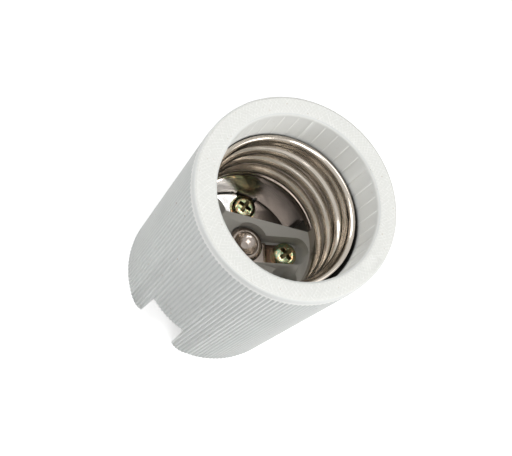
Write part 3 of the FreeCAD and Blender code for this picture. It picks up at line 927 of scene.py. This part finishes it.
def button_piece():
    """Turned button: rounded edge, low ring and a conical dimple, with its rivet."""
    arm_low = ARM_TOP - STRIP
    top = BUTTON_TOP
    points = [(0, RIVET_LOW), (RIVET_RADIUS, RIVET_LOW), (RIVET_RADIUS, arm_low), (RIVET_NECK, arm_low),
              (RIVET_NECK, ARM_TOP), (BUTTON_RADIUS, ARM_TOP), (BUTTON_RADIUS, top), (RING_RADIUS, top),
              (DIMPLE_RADIUS, top - RING_DEPTH), (0, top - DIMPLE_DEPTH)]
    radii = (0, 0.25, 0.1, 0, 0, 0.1, BUTTON_EDGE, 0.15, 0.2, 0)
    return lathe("contact", rounded(points, radii, 8), 120)


def strip_outline(x):
    """Side limits of the strip at x along the slot, about the axis."""
    low = SLOT_OFFSET - STRIP_WIDTH / 2
    high = SLOT_OFFSET + STRIP_WIDTH / 2
    eye = math.sqrt(max(0.0, EYE_RADIUS ** 2 - x * x))
    if x < 0:
        return -eye, eye
    return low - (EYE_RADIUS + low) * (1 - ease(x, 0, EYE_BLEND)), max(high, eye)


def strip_path():
    """Upper line of the bent strip along the slot, up to the middle of its round end."""
    path = [(-EYE_RADIUS + 0.05 + k * (EYE_RADIUS + STRIP_STEP - STRIP_BEND) / ARM_LEVELS, ARM_TOP)
            for k in range(ARM_LEVELS)]
    outer_x = STRIP_STEP + STRIP
    reach = STRIP_BEND + STRIP
    for k in range(BEND_STEPS):
        turn = math.radians(15 * k)
        path.append((outer_x - reach + reach * math.sin(turn), ARM_TOP - reach + reach * math.cos(turn)))
    low = SLOT_FLOOR + STRIP
    for k in range(BEND_STEPS):
        turn = math.radians(15 * k)
        path.append((outer_x + STRIP_BEND - STRIP_BEND * math.cos(turn),
                     low + STRIP_BEND - STRIP_BEND * math.sin(turn)))
    foot_start = outer_x + STRIP_BEND
    foot_centre = STRIP_END - STRIP_WIDTH / 2
    return path + [(foot_start + (foot_centre - outer_x - STRIP_BEND) * k / 4, low) for k in range(1, 5)]


def strip_piece():
    """Bent strip that carries the button."""
    low = SLOT_FLOOR + STRIP
    foot_centre = STRIP_END - STRIP_WIDTH / 2
    end = [(foot_centre + STRIP_WIDTH / 2 * math.sin(math.radians(9 * k)), low) for k in range(1, 11)]
    rows = strip_path() + end
    across = STRIP_COLUMNS
    verts, faces = [], []
    for x, z in rows:
        side_low, side_high = strip_outline(x)
        if x > foot_centre:
            half = math.sqrt(max(0.0004, (STRIP_WIDTH / 2) ** 2 - (x - foot_centre) ** 2))
            side_low, side_high = SLOT_OFFSET - half, SLOT_OFFSET + half
        verts += [(x, side_low + (side_high - side_low) * k / across, z) for k in range(across + 1)]
    for j in range(len(rows) - 1):
        a, b = j * (across + 1), (j + 1) * (across + 1)
        faces += [(a + k, a + k + 1, b + k + 1, b + k) for k in range(across)]
    strip = thickened(new_object("strip", verts, faces), STRIP)
    bevelled(strip, 0.1, 50.0)
    return turned(strip, SLOT_ANGLE)


# ---------------------------------------------------------------- assembly

HOLDER = "holder"
CONTACT = "centre_contact"
place(porcelain_piece(), HOLDER, porcelain, "porcelain_body").name = "porcelain"
place(shell_piece(), HOLDER, shell_metal, "screw_shell").name = "threaded_shell"

contact_strip = strip_piece()
contact_strip.data.materials.append(strip_metal)
shaded(contact_strip)
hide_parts("contact_spring")
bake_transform(contact_strip)
place(button_piece(), CONTACT, button_metal, "contact_button").name = "centre_button"

for node, turn in (("shell_screw", 12.0), ("contact_screw", -8.0)):
    screw = screw_piece(node + "_piece", node, TOP_HEAD_HEIGHT, TOP_SHANK, TOP_PITCH, False, turn)
    place(screw, HOLDER, yellow_zinc, node)
    paint_recess_shade(screw, node, TOP_HEAD_HEIGHT, False)
for node, turn in (("shell_wire_screw", 30.0), ("contact_wire_screw", 65.0)):
    screw = screw_piece(node + "_piece", node, WIRE_HEAD_HEIGHT, WIRE_SHANK, WIRE_PITCH, True, turn)
    place(screw, node + "_body", yellow_zinc, node)
    paint_recess_shade(screw, node, WIRE_HEAD_HEIGHT, True)

plain_parts = [
    ("shell_clamp_plate", 0.12, "nickel_plate", plate_metal, HOLDER),
    ("shell_screw_washer", 0.08, "yellow_zinc", yellow_zinc, HOLDER),
    ("shell_terminal", 0.2, "brass", brass, HOLDER),
    ("contact_terminal", 0.2, "brass", brass, HOLDER),
    ("shell_lock_washer", 0.08, "zinc_steel", zinc, HOLDER),
    ("contact_lock_washer", 0.08, "zinc_steel", zinc, HOLDER),
    ("shell_nut", 0.08, "zinc_steel", zinc, HOLDER),
    ("contact_nut", 0.08, "zinc_steel", zinc, HOLDER),
    ("shell_wire_clamp", 0.15, "zinc_steel", zinc, "shell_wire_washer"),
    ("contact_wire_clamp", 0.15, "zinc_steel", zinc, "contact_wire_washer"),
]
for node, width, slot, material, body in plain_parts:
    place(bevelled(copy_of(node, node + "_piece"), width), body, material, node)


# ---------------------------------------------------------------- camera, floor and light

# The camera is fitted to the mouth's circles and the thread's turns.
camera_data = bpy.data.cameras.new("camera")
camera_data.sensor_width = 36.0
camera_data.lens = 70.18
camera_data.clip_start = 0.01
camera = bpy.data.objects.new("camera", camera_data)
scene.collection.objects.link(camera)
right = Vector((0.65302, -0.67631, 0.34085))
above = Vector((0.59955, 0.73662, 0.31294))
ahead = Vector((0.46272, 0.0, -0.88650))
camera_turn = Matrix((right, above, -ahead)).transposed()
camera.matrix_world = Matrix.Translation((-0.1200, 0.0013, 0.2725)) @ camera_turn.to_4x4()
scene.camera = camera

# A dim sky lights the scene, and the camera, metal and glass see white.
world = bpy.data.worlds.new("world")
world.use_nodes = True
sky_tree = world.node_tree
sky = sky_tree.nodes["Background"]
sky.inputs["Color"].default_value = (0.95, 0.97, 1.0, 1.0)
sky.inputs["Strength"].default_value = 0.12
backdrop = sky_tree.nodes.new("ShaderNodeBackground")
backdrop.inputs["Color"].default_value = (1.0, 1.0, 1.0, 1.0)
backdrop.inputs["Strength"].default_value = 1.0
rays = sky_tree.nodes.new("ShaderNodeLightPath")
seen = rays.outputs["Is Camera Ray"]
for kind in ("Is Glossy Ray", "Is Transmission Ray"):
    either = sky_tree.nodes.new("ShaderNodeMath")
    either.operation = "MAXIMUM"
    sky_tree.links.new(seen, either.inputs[0])
    sky_tree.links.new(rays.outputs[kind], either.inputs[1])
    seen = either.outputs[0]
pick = sky_tree.nodes.new("ShaderNodeMixShader")
sky_tree.links.new(seen, pick.inputs[0])
sky_tree.links.new(sky.outputs[0], pick.inputs[1])
sky_tree.links.new(backdrop.outputs[0], pick.inputs[2])
sky_tree.links.new(pick.outputs[0], sky_tree.nodes["World Output"].inputs["Surface"])
scene.world = world

# Pale floor with a little light of its own for the camera, so that it meets the white background.
FLOOR_HALF, FLOOR_Z = 3000, -0.02
corners = ((-1, -1), (1, -1), (1, 1), (-1, 1))
floor = new_object("floor", [(x * FLOOR_HALF, y * FLOOR_HALF, FLOOR_Z) for x, y in corners], [(0, 1, 2, 3)])
floor_nodes = Nodes("floor_white")
floor_nodes.set(Base_Color=(0.85, 0.85, 0.85), Roughness=0.9)
floor_mix = floor_nodes.add("ShaderNodeAddShader")
glow = floor_nodes.add("ShaderNodeEmission")
floor_rays = floor_nodes.add("ShaderNodeLightPath")
floor_seen = floor_nodes.math("MAXIMUM", floor_rays.outputs["Is Camera Ray"],
                              floor_rays.outputs["Is Glossy Ray"])
floor_nodes.feed(glow.inputs["Strength"], floor_nodes.math("MULTIPLY", floor_seen, 0.6))
floor_nodes.feed(floor_mix.inputs[0], floor_nodes.bsdf.outputs[0])
floor_nodes.feed(floor_mix.inputs[1], glow.outputs[0])
floor_nodes.feed(floor_nodes.tree.nodes["Material Output"].inputs["Surface"], floor_mix.outputs[0])
floor.data.materials.append(floor_nodes.material)


AIM = Vector((0, 0, 40 * MM))


def area_light(name, spot, size, power):
    """Square area light at a spot, aimed at the middle of the body."""
    data = bpy.data.lights.new(name, "AREA")
    data.size = size * MM
    data.energy = power
    lamp = bpy.data.objects.new(name, data)
    scene.collection.objects.link(lamp)
    lamp.location = Vector(spot) * MM
    aim = AIM - lamp.location
    lamp.rotation_mode = "QUATERNION"
    lamp.rotation_quaternion = aim.to_track_quat("-Z", "Y")


area_light("key", (80, -430, 300), 300, 1.1)
area_light("top", (0, 0, 620), 200, 0.35)
area_light("back", (-130, 430, 420), 300, 1.3)
area_light("far", (400, 120, 420), 300, 0.3)
area_light("front", (-300, -250, 560), 300, 1.6)

scene.view_settings.view_transform = "Standard"
